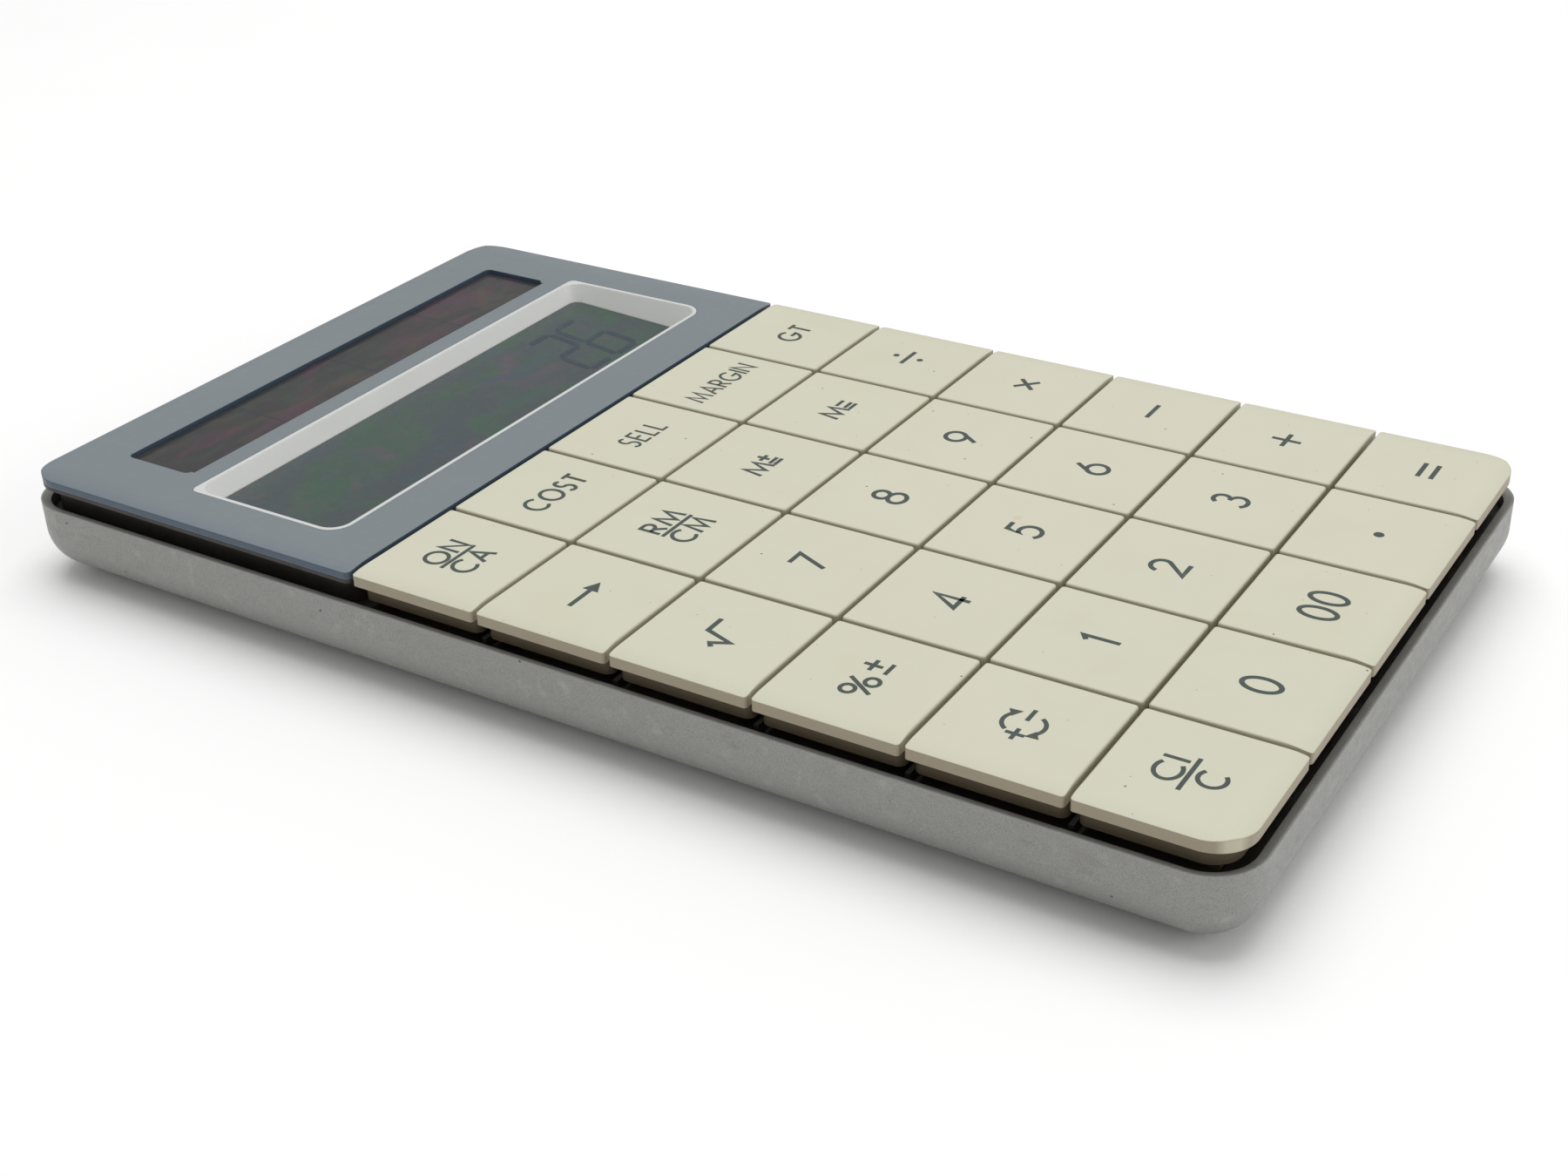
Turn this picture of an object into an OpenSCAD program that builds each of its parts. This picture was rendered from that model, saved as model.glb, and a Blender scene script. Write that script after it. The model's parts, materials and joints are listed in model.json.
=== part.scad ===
// Desk calculator with thirty tile keys, a sunken display and a solar cell.
// Millimetres. +X is to the right of the person using it, +Y points from the keys
// to the display, +Z is up. The origin is on the table, under the middle of the tray.

/* [Keypad] */
// Distance from one key column to the next
pitch_x = 22.0; // [21.6:0.1:22.4]
// Distance from one key row to the next
pitch_y = 21.25; // [21:0.05:21.6]
// Gap between neighbouring key tiles
key_gap = 0.7; // [0.5:0.05:0.9]
// Height of the key tops above the table
top_z = 17.0; // [17:0.1:18]
// Thickness of a key tile
tile_t = 2.0; // [1.8:0.1:2.2]
// How far a key goes down when it is pressed
key_travel = 1.5; // [1.0:0.1:1.5]
// Drop of the outer edges of the keypad and the display cover
roll_drop = 0.45; // [0.3:0.05:0.6]
// Width of the band over which those edges drop
roll_w = 4.5; // [3.5:0.5:6]
// Corner radius of the keypad and display slab, seen from above
slab_r = 5.5; // [4:0.5:6]

/* [Display] */
// Number of key pitches that the display cover is deep
cover_rows = 3; // [3:3]
// Thickness of the blue-grey display cover
cover_t = 1.5; // [1.2:0.05:1.5]
// Width of the display window
lcd_w = 93.6; // [90:0.2:94]
// Depth of the display window from near side to far side
lcd_l = 28.3; // [26:0.1:29]
// Distance from the cover's near edge to the display window
lcd_near = 8.5; // [8:0.1:9]
// Tilt of the display glass towards the user, in degrees
lcd_tilt = 2.4; // [1.5:0.1:3]
// Depth of the display glass below the key tops, at the middle of the window
lcd_depth = 3.5; // [3.3:0.1:3.7]
// Width of the solar cell window
solar_w = 86.9; // [80:0.1:88]
// Depth of the solar cell window from near side to far side
solar_l = 12.4; // [11:0.1:13]
// Distance from the cover's far edge to the solar cell window
solar_far = 9.8; // [9:0.1:11]
// Depth of the solar cell below the key tops
solar_depth = 0.7; // [0.5:0.05:0.9]

/* [Case] */
// Margin of the tray around the keypad and display slab
tray_margin = 1.15; // [1.0:0.05:1.4]
// Height of the tray's rim above the table
rim_z = 12.5; // [12.2:0.1:12.6]
// Corner radius of the tray, seen from above
tray_r = 7.5; // [7.2:0.1:8]
// Radius between the tray's wall and its underside
tray_sweep = 7.0; // [6:0.1:7.1]
// Thickness of the tray's wall at the rim
tray_wall = 1.4; // [1.3:0.1:1.6]
// Thickness of the tray's floor
tray_floor = 1.6; // [1.5:0.1:1.6]
// Height of the rubber feet below the tray
foot_h = 1.0; // [0.8:0.1:1.0]
// Diameter of a rubber foot
foot_d = 8.0; // [6:0.5:9]

/* [Battery] */
// Diameter of the coin cell, a standard 2032 size
cell_d = 20.0; // [20:20]
// Thickness of the coin cell, a standard 2032 size
cell_t = 3.2; // [3.2:3.2]
// Width of the battery cover
batt_cover_w = 40; // [38:1:42]
// Length of the battery cover
batt_cover_l = 26; // [25:1:27]
// Thickness of the battery cover
batt_cover_t = 1.2; // [1.2:1.2]

/* [Hidden] */
$fn = 48;
COLUMNS = 5;
ROWS = 6;
// Key names, row by row from the front edge to the display
KEYS = [
    ["key_clear", "key_0", "key_00", "key_point", "key_equals"],
    ["key_sign_change", "key_1", "key_2", "key_3", "key_plus"],
    ["key_percent", "key_4", "key_5", "key_6", "key_minus"],
    ["key_square_root", "key_7", "key_8", "key_9", "key_multiply"],
    ["key_backspace", "key_memory_recall", "key_memory_plus", "key_memory_minus", "key_divide"],
    ["key_on_clear_all", "key_cost", "key_sell", "key_margin", "key_grand_total"],
];
PARTS = [
    "lower_case", "key_frame", "display_housing", "display_cover", "lcd_bezel", "lcd_polarizer",
    "lcd_glass", "lcd_reflector", "lcd_cradle", "lcd_ribbon", "solar_cell", "solar_leads",
    "main_board", "controller_chip", "capacitors", "keypad_mat", "coin_cell",
    "battery_contact_top", "battery_contact_side", "battery_leads", "battery_cover",
    "battery_cover_screw", "case_screws", "housing_screws", "board_screws", "rubber_feet",
];

eps = 0.01;
ivory = [0.84, 0.83, 0.75];
blue_grey = [0.49, 0.52, 0.55];
silver_paint = [0.50, 0.50, 0.48];
black_plastic = [0.09, 0.09, 0.09];
screw_steel = [0.62, 0.62, 0.60];

// The slab of keys and display cover, and the tray around it
tile_w = pitch_x - key_gap;
tile_l = pitch_y - key_gap;
slab_w = COLUMNS * pitch_x - key_gap;
slab_l = (ROWS + cover_rows) * pitch_y - key_gap;
tray_w = slab_w + 2 * tray_margin;
tray_l = slab_l + 2 * tray_margin;
tray_inner_r = tray_r - tray_wall;
front_y = -slab_l / 2;
cover_l = cover_rows * pitch_y - key_gap;
cover_y = front_y + ROWS * pitch_y;
cover_mid_y = cover_y + cover_l / 2;
roll_r = (roll_w * roll_w + roll_drop * roll_drop) / (2 * roll_drop);
tile_r = 0.5;
tile_edge = 0.3;

// Heights of the layers inside, from the floor up
floor_z = foot_h + tray_floor;
board_z = 4.0;
board_t = 1.2;
mat_z = board_z + board_t;
mat_t = 0.6;
dome_top = 7.9;
frame_z = 9.0;
frame_top = 10.4;
tile_z = top_z - tile_t;
cover_z = top_z - cover_t;
flange_z = 14.9;

// Keys
skirt_inner = 0.3;
skirt_outer = 1.6;
skirt_h = 2.7;
skirt_wall = 1.0;
skirt_r = 1.2;
stem_w = 13;
stem_wall = 1.2;
stem_z = 8.2;
plunger_d = 4.4;
lug_w = 4;
lug_out = 0.7;
lug_h = 0.6;
guide_gap = 0.3;
rib_w = 0.7;
rib_top = 11.9;

// Display module
lcd_x = -0.4;
lcd_mid_y = cover_y + lcd_near + lcd_l / 2;
lcd_z = top_z - lcd_depth;
lcd_corner_r = 3.6;
lcd_far_corner_r = 1.2;
bezel_rim = 0.7;
bezel_lean = 1.7;
glass_w = 95.2;
glass_l = 31;
film_t = 0.2;
glass_t = 1.6;
housing_inset = 2.0;
housing_wall = 1.6;
solar_t = 1.1;
solar_run_z = 7.4;
solar_mid_y = front_y + slab_l - solar_far - solar_l / 2;
frame_window_w = 87;
frame_window_l = 52;
frame_window_y = cover_y + 3.8 + frame_window_l / 2;

// Fasteners: [x, y] of each
screw_x = 1.5 * pitch_x;
crossing_y = front_y - key_gap / 2;
case_screw_at = [for (sx = [-1, 1]) each [
    [sx * screw_x, crossing_y + pitch_y],
    [sx * screw_x, crossing_y + 4 * pitch_y],
    [sx * 46.5, cover_mid_y - 4]]];
board_screw_at = [for (sx = [-1, 1]) for (k = [2, 5])
    [sx * pitch_x / 2, crossing_y + k * pitch_y]];
housing_screw_at = [for (sx = [-1, 1]) for (y = [cover_y + 3.6, cover_y + cover_l - 9.3])
    [sx * 48.5, y]];
foot_at = [for (sx = [-1, 1]) for (sy = [-1, 1]) [sx * 43, sy * 84]];
screw_d = 2.0;
screw_bore = 2.04;
screw_clear = 2.4;
case_head_d = 4.0;
boss_d = 7.5;
pillar_d = 5.0;
post_d = 4.0;

// Battery
cell_x = -24;
cell_y = 75;
cell_z = floor_z - 0.2;
hinge_x = cell_x - 13;
hinge_z = foot_h + batt_cover_t / 2;
hinge_pin_d = 0.8;
cover_play = 0.3;
batt_run_z = 5.8;
ring_d = 23;
ring_top = 6.2;
cover_screw_x = hinge_x + batt_cover_w - 4.5;
cover_boss_d = 6;
cover_boss_bore = 2.7;

// ---- Shared shapes ------------------------------------------------------------

// Upright section w wide and h high, rounded at the top and bottom corners
module section(w, h, top_r, bottom_r) {
    big = max(top_r, bottom_r);
    intersection() {
        translate([-w / 2, 0]) square([w, h]);
        union() {
            translate([-w / 2, bottom_r]) square([w, h - top_r - bottom_r]);
            translate([-(w / 2 - big), 0]) square([w - 2 * big, h]);
            for (s = [-1, 1]) {
                if (top_r > 0) translate([s * (w / 2 - top_r), h - top_r]) circle(top_r);
                if (bottom_r > 0) translate([s * (w / 2 - bottom_r), bottom_r]) circle(bottom_r);
            }
        }
    }
}

// One corner of a rounded box, or a round disc: the section turned about its centre
module corner(r, h, top_r, bottom_r) {
    rotate_extrude() intersection() {
        square([r, h]);
        section(2 * r, h, top_r, bottom_r);
    }
}

// Box with upright rounded corners, and rounded edges round its top and bottom
module rounded_box(w, l, h, r, top_r = 0, bottom_r = 0) {
    for (sx = [-1, 1], sy = [-1, 1])
        translate([sx * (w / 2 - r), sy * (l / 2 - r), 0]) corner(r, h, top_r, bottom_r);
    translate([0, l / 2 - r, 0]) rotate([90, 0, 0])
        linear_extrude(l - 2 * r) section(w, h, top_r, bottom_r);
    translate([-(w / 2 - r), 0, 0]) rotate([90, 0, 90])
        linear_extrude(w - 2 * r) section(l, h, top_r, bottom_r);
}

// The same kind of box with the two corners at its far side rounded by far_r instead
module uneven_box(w, l, h, r, far_r) {
    rounded_box(w, l, h, r);
    translate([0, l / 4, 0]) rounded_box(w, l / 2, h, far_r);
}

// Box whose four sides lean outwards by lean over its height
module leaning_box(w, l, h, r, lean) {
    for (sx = [-1, 1], sy = [-1, 1])
        translate([sx * (w / 2 - r), sy * (l / 2 - r), 0]) cylinder(r1 = r, r2 = r + lean, h = h);
    translate([0, l / 2 - r, 0]) rotate([90, 0, 0]) linear_extrude(l - 2 * r)
        polygon([[-w / 2, 0], [w / 2, 0], [w / 2 + lean, h], [-w / 2 - lean, h]]);
    translate([-(w / 2 - r), 0, 0]) rotate([90, 0, 90]) linear_extrude(w - 2 * r)
        polygon([[-l / 2, 0], [l / 2, 0], [l / 2 + lean, h], [-l / 2 - lean, h]]);
}

// Section of the whole slab: flat on top, rolling down over roll_w at both ends
module rolled_section(w) {
    union() {
        translate([-w / 2, 0]) square([w, top_z - roll_drop]);
        translate([-(w / 2 - roll_w), 0]) square([w - 2 * roll_w, top_z]);
        for (s = [-1, 1]) intersection() {
            translate([s * (w / 2 - roll_w), top_z - roll_r]) circle(roll_r, $fn = 200);
            translate([s * (w / 2 - roll_w / 2) - roll_w / 2, 0]) square([roll_w, top_z]);
        }
    }
}

// Space inside which the key tiles and the display cover lie
module slab_envelope() {
    intersection() {
        rounded_box(slab_w, slab_l, top_z, slab_r);
        translate([0, slab_l, 0]) rotate([90, 0, 0])
            linear_extrude(2 * slab_l) rolled_section(slab_w);
        translate([-slab_w, 0, 0]) rotate([90, 0, 90])
            linear_extrude(2 * slab_w) rolled_section(slab_l);
    }
}

// Places its children at every [x, y] of a list
module at_each(places) {
    for (p = places) translate([p[0], p[1], 0]) children();
}

// Pan-head screw standing head down: head from z = 0, shank up to length
module screw(head_d, head_h, length, shank_d = screw_d) {
    difference() {
        cylinder(d = head_d, h = head_h);
        for (a = [0, 90]) rotate([0, 0, a])
            translate([-head_d * 0.3, -0.3, -eps]) cube([head_d * 0.6, 0.6, head_h * 0.6]);
    }
    cylinder(d = shank_d, h = length);
}

// ---- Case ---------------------------------------------------------------------

module lower_case() {
    outer_h = rim_z - foot_h;
    lip = 0.4;
    color(silver_paint) difference() {
        union() {
            difference() {
                translate([0, 0, foot_h])
                    rounded_box(tray_w, tray_l, outer_h, tray_r, 0, tray_sweep);
                translate([0, 0, floor_z]) rounded_box(
                    tray_w - 2 * tray_wall, tray_l - 2 * tray_wall, outer_h, tray_inner_r,
                    0, tray_sweep - tray_floor);
                // The rim's top slopes down towards the keys
                translate([0, 0, rim_z - lip]) leaning_box(
                    tray_w - 2 * tray_wall, tray_l - 2 * tray_wall, lip + eps, tray_inner_r,
                    tray_wall - 0.25);
            }
            at_each(case_screw_at) translate([0, 0, foot_h + 0.6])
                cylinder(d = boss_d, h = board_z - foot_h - 0.6);
            translate([cell_x, cell_y, floor_z - 0.6]) cylinder(d = ring_d, h = ring_top - floor_z + 0.6);
            translate([cover_screw_x, cell_y, floor_z - 0.6])
                cylinder(d = cover_boss_d, h = 5.8 - floor_z + 0.6);
        }
        // Screw heads sit in pockets under the floor
        at_each(case_screw_at) {
            cylinder(d = case_head_d + 0.6, h = foot_h + 1.4);
            cylinder(d = screw_clear, h = board_z + 1);
        }
        at_each(foot_at) cylinder(d = foot_d + 0.2, h = foot_h + 0.4);
        battery_bay();
        // Reset hole
        translate([30, 20, 0]) cylinder(d = 1.6, h = floor_z + 1);
    }
}

// Recess for the battery cover, with the cell's well, its contact slot and the hinge holes
module battery_bay() {
    recess_w = batt_cover_w + 2 * cover_play;
    recess_l = batt_cover_l + 2 * cover_play;
    translate([hinge_x - batt_cover_t / 2 - cover_play, cell_y - recess_l / 2, 0])
        cube([recess_w, recess_l, foot_h + batt_cover_t + 0.1]);
    translate([cell_x, cell_y, 0]) cylinder(d = cell_d + 0.6, h = ring_top + 1);
    translate([cell_x - 3, cell_y - ring_d / 2 - 1, floor_z]) cube([6, 4, ring_top]);
    translate([cover_screw_x, cell_y, 0]) cylinder(d = cover_boss_bore, h = ring_top + 1);
    translate([hinge_x, cell_y, hinge_z]) rotate([90, 0, 0])
        cylinder(d = hinge_pin_d + 0.1, h = recess_l + 3, center = true);
}

// Black frame that guides the keys: one square opening for each key stem
module key_frame() {
    inner_w = tray_w - 2 * tray_wall - 0.6;
    inner_l = tray_l - 2 * tray_wall - 0.6;
    color(black_plastic) difference() {
        union() {
            translate([0, 0, frame_z])
                rounded_box(inner_w, inner_l, frame_top - frame_z, tray_inner_r - 0.3);
            key_ribs();
            at_each(case_screw_at) translate([0, 0, board_z])
                cylinder(d = pillar_d, h = frame_z - board_z + 1);
            at_each(board_screw_at) translate([0, 0, mat_z])
                cylinder(d = post_d, h = frame_z - mat_z + 1);
        }
        for (r = [0:ROWS - 1], c = [0:COLUMNS - 1]) translate([key_x(c), key_y(r), frame_z + 0.5])
            cube([stem_w + 2 * guide_gap, stem_w + 2 * guide_gap, 4], center = true);
        translate([-frame_window_w / 2, frame_window_y - frame_window_l / 2, frame_z - 1])
            cube([frame_window_w, frame_window_l, 4]);
        at_each(case_screw_at) cylinder(d = screw_bore, h = frame_z);
        at_each(board_screw_at) cylinder(d = screw_bore, h = frame_z);
        at_each(housing_screw_at) cylinder(d = screw_clear, h = frame_top + 1);
    }
}

// Low ribs between the key skirts
module key_ribs() {
    rib_h = rib_top - frame_z;
    edge_x = slab_w / 2 - skirt_outer;
    keys_l = ROWS * pitch_y;
    for (r = [1:ROWS - 1])
        translate([-edge_x, crossing_y + r * pitch_y - rib_w / 2, frame_z])
            cube([2 * edge_x, rib_w, rib_h]);
    for (c = [1:COLUMNS - 1])
        translate([(c - COLUMNS / 2) * pitch_x - rib_w / 2, front_y + skirt_outer, frame_z])
            cube([rib_w, keys_l - skirt_outer - 1.2, rib_h]);
}

module rubber_feet() {
    foot_edge = 0.35;
    color([0.12, 0.12, 0.12]) at_each(foot_at) corner(foot_d / 2, foot_h + 0.4, 0, foot_edge);
}

module case_screws() {
    color(screw_steel) at_each(case_screw_at) translate([0, 0, foot_h + 0.3])
        screw(case_head_d, 1.1, 6.6);
}

module housing_screws() {
    color(screw_steel) at_each(housing_screw_at) translate([0, 0, frame_z - 1.1])
        screw(3.6, 1.1, 5.2, 1.6);
}

module board_screws() {
    color(screw_steel) at_each(board_screw_at) translate([0, 0, board_z - 1])
        screw(4, 1.0, 5.6);
}

// ---- Keys ---------------------------------------------------------------------

function key_x(c) = (c - (COLUMNS - 1) / 2) * pitch_x;
function key_y(r) = front_y + tile_l / 2 + r * pitch_y;

// One key: tile, hollow skirt, hollow guide stem with two stop lugs, and plunger
module key(c, r) {
    left_in = c == 0 ? skirt_outer : skirt_inner;
    right_in = c == COLUMNS - 1 ? skirt_outer : skirt_inner;
    front_in = r == 0 ? skirt_outer : skirt_inner;
    on_edge = c == 0 || c == COLUMNS - 1 || r == 0;
    skirt_w = tile_w - left_in - right_in;
    skirt_l = tile_l - front_in - skirt_inner;
    on_corner = r == 0 && (c == 0 || c == COLUMNS - 1);
    skirt_at = [key_x(c) + (left_in - right_in) / 2, key_y(r) + (front_in - skirt_inner) / 2,
        tile_z - skirt_h];
    color(ivory) union() {
        if (on_edge) intersection() {
            key_tile(c, r);
            slab_envelope();
        }
        else key_tile(c, r);
        if (on_corner) intersection() {
            translate(skirt_at) key_skirt(skirt_w, skirt_l, slab_r - skirt_outer - skirt_wall);
            rounded_box(slab_w - 2 * skirt_outer, slab_l - 2 * skirt_outer, top_z, slab_r - skirt_outer);
        }
        else translate(skirt_at) key_skirt(skirt_w, skirt_l, skirt_r - skirt_wall / 2);
        translate([key_x(c), key_y(r), 0]) key_stem();
    }
}

module key_tile(c, r) {
    translate([key_x(c), key_y(r), tile_z])
        rounded_box(tile_w, tile_l, tile_t, tile_r, tile_edge, 0);
}

// Hollow skirt whose inner corners are rounded by hollow_r
module key_skirt(w, l, hollow_r) {
    difference() {
        rounded_box(w, l, skirt_h + eps, skirt_r);
        translate([0, 0, -1])
            rounded_box(w - 2 * skirt_wall, l - 2 * skirt_wall, skirt_h + 1, hollow_r);
    }
}

module key_stem() {
    stem_h = tile_z - stem_z + eps;
    hollow = stem_w - 2 * stem_wall;
    difference() {
        translate([-stem_w / 2, -stem_w / 2, stem_z]) cube([stem_w, stem_w, stem_h]);
        translate([-hollow / 2, -hollow / 2, stem_z - 1]) cube([hollow, hollow, stem_h + 1 - eps]);
    }
    for (s = [-1, 1]) translate([s * (stem_w / 2 + lug_out / 2 - 0.2), 0, stem_z + lug_h / 2])
        cube([lug_out + 0.4, lug_w, lug_h], center = true);
    translate([0, 0, dome_top + 0.05]) cylinder(d = plunger_d, h = tile_z - dome_top);
}

// ---- Display ------------------------------------------------------------------

// Black housing: a skirt standing on the frame and a thin flange under the cover
module display_housing() {
    skirt_w = slab_w - 2 * housing_inset;
    skirt_l = cover_l - housing_inset - 0.7;
    skirt_y = cover_y + 0.7 + skirt_l / 2;
    skirt_h = flange_z - frame_top;
    color(black_plastic) difference() {
        union() {
            intersection() {
                translate([0, cover_mid_y, flange_z]) cover_slab(cover_z - flange_z);
                slab_envelope();
            }
            difference() {
                translate([0, skirt_y, frame_top])
                    rounded_box(skirt_w, skirt_l, skirt_h + eps, 3.5);
                translate([0, skirt_y, frame_top - 1]) rounded_box(
                    skirt_w - 2 * housing_wall, skirt_l - 2 * housing_wall, skirt_h + 1, 1.9);
            }
            at_each(housing_screw_at) translate([0, 0, frame_top])
                cylinder(d = 4.2, h = skirt_h + eps);
        }
        translate([lcd_x, lcd_mid_y, flange_z - 1])
            uneven_box(lcd_w, lcd_l, 4, lcd_corner_r, lcd_far_corner_r);
        translate([0, solar_mid_y, top_z - solar_depth - solar_t])
            rounded_box(solar_w, solar_l, 4, 1.0);
        for (s = [-1, 1]) translate([s * 40, solar_mid_y, flange_z - 1]) cylinder(d = 1.2, h = 3);
        at_each(housing_screw_at) translate([0, 0, frame_top - 1]) cylinder(d = 1.64, h = 4.6);
    }
}

// Flat rounded slab with the outline of the display cover
module cover_slab(h) {
    rounded_box(slab_w, cover_l, h, 1.0);
}

// Blue-grey cover with the display window and the solar window
module display_cover() {
    color(blue_grey) difference() {
        intersection() {
            translate([0, cover_mid_y, cover_z]) cover_slab(cover_t);
            slab_envelope();
        }
        translate([lcd_x, lcd_mid_y, cover_z - 1])
            uneven_box(lcd_w, lcd_l, 4, lcd_corner_r, lcd_far_corner_r);
        translate([0, solar_mid_y, cover_z - 1]) rounded_box(solar_w, solar_l, 4, 1.0);
        // The near edge of the solar window is eased
        translate([0, solar_mid_y - solar_l / 2, top_z]) rotate([45, 0, 0])
            cube([solar_w - 1.5, 0.8, 0.8], center = true);
    }
}

// Turns its children to the tilt of the display glass, z = 0 on the glass
module on_glass() {
    translate([lcd_x, lcd_mid_y, lcd_z]) rotate([lcd_tilt, 0, 0]) children();
}

// White well between the cover's window and the glass
module lcd_bezel() {
    fit = 0.05;
    well_h = 6;
    well_r = 0.6;
    lean = bezel_lean * well_h / (lcd_depth + 0.7);
    color([0.88, 0.89, 0.87]) difference() {
        translate([lcd_x, lcd_mid_y, lcd_z - 1]) uneven_box(
            lcd_w - 2 * fit, lcd_l - 2 * fit, lcd_depth + 1, lcd_corner_r - fit,
            lcd_far_corner_r - fit);
        translate([lcd_x, lcd_mid_y, top_z - well_h]) leaning_box(
            lcd_w - 2 * bezel_rim - 2 * lean, lcd_l - 2 * bezel_rim - 2 * lean, well_h, well_r, lean);
        on_glass() translate([-lcd_w, -lcd_l, -8]) cube([2 * lcd_w, 2 * lcd_l, 8]);
    }
}

module lcd_polarizer() {
    color([0.30, 0.33, 0.32]) on_glass() translate([-glass_w / 2 + 0.5, -glass_l / 2 + 1.2, -film_t])
        cube([glass_w - 1, glass_l - 1.7, film_t]);
}

module lcd_glass() {
    color([0.45, 0.50, 0.47]) on_glass()
        translate([-glass_w / 2, -glass_l / 2, -film_t - glass_t]) cube([glass_w, glass_l, glass_t]);
}

module lcd_reflector() {
    color([0.75, 0.77, 0.76]) on_glass()
        translate([-glass_w / 2 + 0.5, -glass_l / 2 + 1.5, -glass_t - 2 * film_t])
            cube([glass_w - 1, glass_l - 2.5, film_t]);
}

// Black wedge that the glass lies on, with an opening in its middle
module lcd_cradle() {
    cradle_w = 94;
    cradle_l = glass_l - 4;
    color(black_plastic) difference() {
        translate([lcd_x - cradle_w / 2, lcd_mid_y - cradle_l / 2 + 0.5, frame_top])
            cube([cradle_w, cradle_l, 4]);
        on_glass() translate([-lcd_w, -lcd_l, -glass_t - 2 * film_t]) cube([2 * lcd_w, 2 * lcd_l, 8]);
        translate([lcd_x - 41, lcd_mid_y - 8, frame_top - 1]) cube([82, 17, 6]);
    }
}

// Flexible ribbon from the glass's near edge down to the main board
module lcd_ribbon() {
    ribbon_w = 40;
    t = 0.2;
    top = 11.0;
    near = lcd_mid_y - glass_l / 2 - 0.9;
    foot = mat_z + 0.02;
    color([0.75, 0.55, 0.20]) translate([-ribbon_w / 2, 0, 0]) rotate([90, 0, 90])
        linear_extrude(ribbon_w) polygon([
            [near, foot], [near + 4, foot], [near + 4, foot + t], [near + t, foot + t],
            [near + t, top - t], [near + 2.4, top - t], [near + 2.4, top - t / 2],
            [near + t, top], [near, top]]);
}

module solar_cell() {
    color([0.20, 0.19, 0.21]) translate([0, solar_mid_y, top_z - solar_depth - solar_t])
        rounded_box(solar_w - 0.2, solar_l - 0.2, solar_t, 0.9);
}

// Thin lead in three straight runs: from its start to the height of the long run,
// towards the keys, and down to the board
module lead(x, y, start_z, run_z) {
    d = 0.8;
    board_y = cover_y + 11;
    translate([x, y, min(start_z, run_z)]) cylinder(d = d, h = abs(start_z - run_z));
    translate([x, y, run_z]) sphere(d = d);
    translate([x, board_y, run_z]) rotate([-90, 0, 0]) cylinder(d = d, h = y - board_y);
    translate([x, board_y, run_z]) sphere(d = d);
    translate([x, board_y, mat_z]) cylinder(d = d, h = run_z - mat_z);
}

module solar_leads() {
    color([0.65, 0.12, 0.10]) for (s = [-1, 1])
        lead(s * 40, solar_mid_y, top_z - solar_depth - solar_t, solar_run_z);
}

module battery_leads() {
    color([0.12, 0.12, 0.14]) {
        lead(cell_x + 8.5, cell_y - 10.5, ring_top, batt_run_z);
        lead(cell_x, cell_y - ring_d / 2 - 0.8, floor_z + 0.35, batt_run_z);
    }
}

// ---- Electronics --------------------------------------------------------------

module main_board() {
    near = front_y + 3.8;
    far = cover_y + 13.8;
    color([0.10, 0.35, 0.20]) difference() {
        translate([0, (near + far) / 2, board_z]) rounded_box(100, far - near, board_t, 4);
        at_each(case_screw_at) cylinder(d = pillar_d + 0.6, h = mat_z + 1);
        at_each(board_screw_at) cylinder(d = screw_clear, h = mat_z + 1);
    }
}

// Black resin blob over the controller
module controller_chip() {
    blob_d = 13;
    blob_h = 1.4;
    blob_edge = 1.2;
    color([0.05, 0.05, 0.05]) translate([34, cover_y + 7, mat_z])
        corner(blob_d / 2, blob_h, blob_edge, 0);
}

module capacitors() {
    color([0.15, 0.20, 0.45]) for (x = [-36, -28]) translate([x, cover_y + 5.4, mat_z + 1.8])
        rotate([-90, 0, 0]) union() {
            cylinder(d = 3.6, h = 6.5);
            for (s = [-1, 1]) translate([s * 0.8, 0, 6.4]) cylinder(d = 0.5, h = 1.1);
        }
}

// Silicone mat with one hollow dome under each key
module keypad_mat() {
    near = front_y + 4.3;
    far = cover_y - 0.7;
    dome_base = mat_z + mat_t;
    lip = 0.5;
    color([0.60, 0.60, 0.58]) difference() {
        union() {
            translate([0, (near + far) / 2, mat_z]) rounded_box(99, far - near, mat_t, 3.5);
            for (r = [0:ROWS - 1], c = [0:COLUMNS - 1]) translate([key_x(c), key_y(r), dome_base - eps])
                cylinder(r1 = 4.5, r2 = 2.6, h = dome_top - dome_base + eps);
        }
        for (r = [0:ROWS - 1], c = [0:COLUMNS - 1]) translate([key_x(c), key_y(r), mat_z - eps])
            cylinder(r1 = 4.4, r2 = 2.2, h = dome_top - mat_z - lip);
        at_each(case_screw_at) cylinder(d = pillar_d + 0.6, h = frame_z);
        at_each(board_screw_at) cylinder(d = post_d + 0.6, h = frame_z);
    }
}

// ---- Battery ------------------------------------------------------------------

module coin_cell() {
    rim_t = 2.6;
    color([0.72, 0.72, 0.70]) translate([cell_x, cell_y, cell_z]) union() {
        cylinder(d = cell_d, h = rim_t);
        cylinder(d = cell_d - 2.6, h = cell_t);
    }
}

// Spring strip across the top of the cell's ring, dimpled down to the cell
module battery_contact_top() {
    strip_t = 0.3;
    dimple_r = 1.5;
    cell_top = cell_z + cell_t;
    color([0.80, 0.74, 0.55]) union() {
        translate([cell_x - 2.5, cell_y - 1, ring_top]) cube([5, 12.2, strip_t]);
        translate([cell_x + 2, cell_y - 11, ring_top]) cube([8, 4, strip_t]);
        translate([cell_x - 2.5, cell_y - 11, ring_top]) cube([5, 14, strip_t]);
        intersection() {
            translate([cell_x, cell_y, cell_top + dimple_r + 0.02]) sphere(dimple_r);
            translate([cell_x - 2, cell_y - 2, cell_top]) cube([4, 4, ring_top + strip_t - cell_top]);
        }
    }
}

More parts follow.
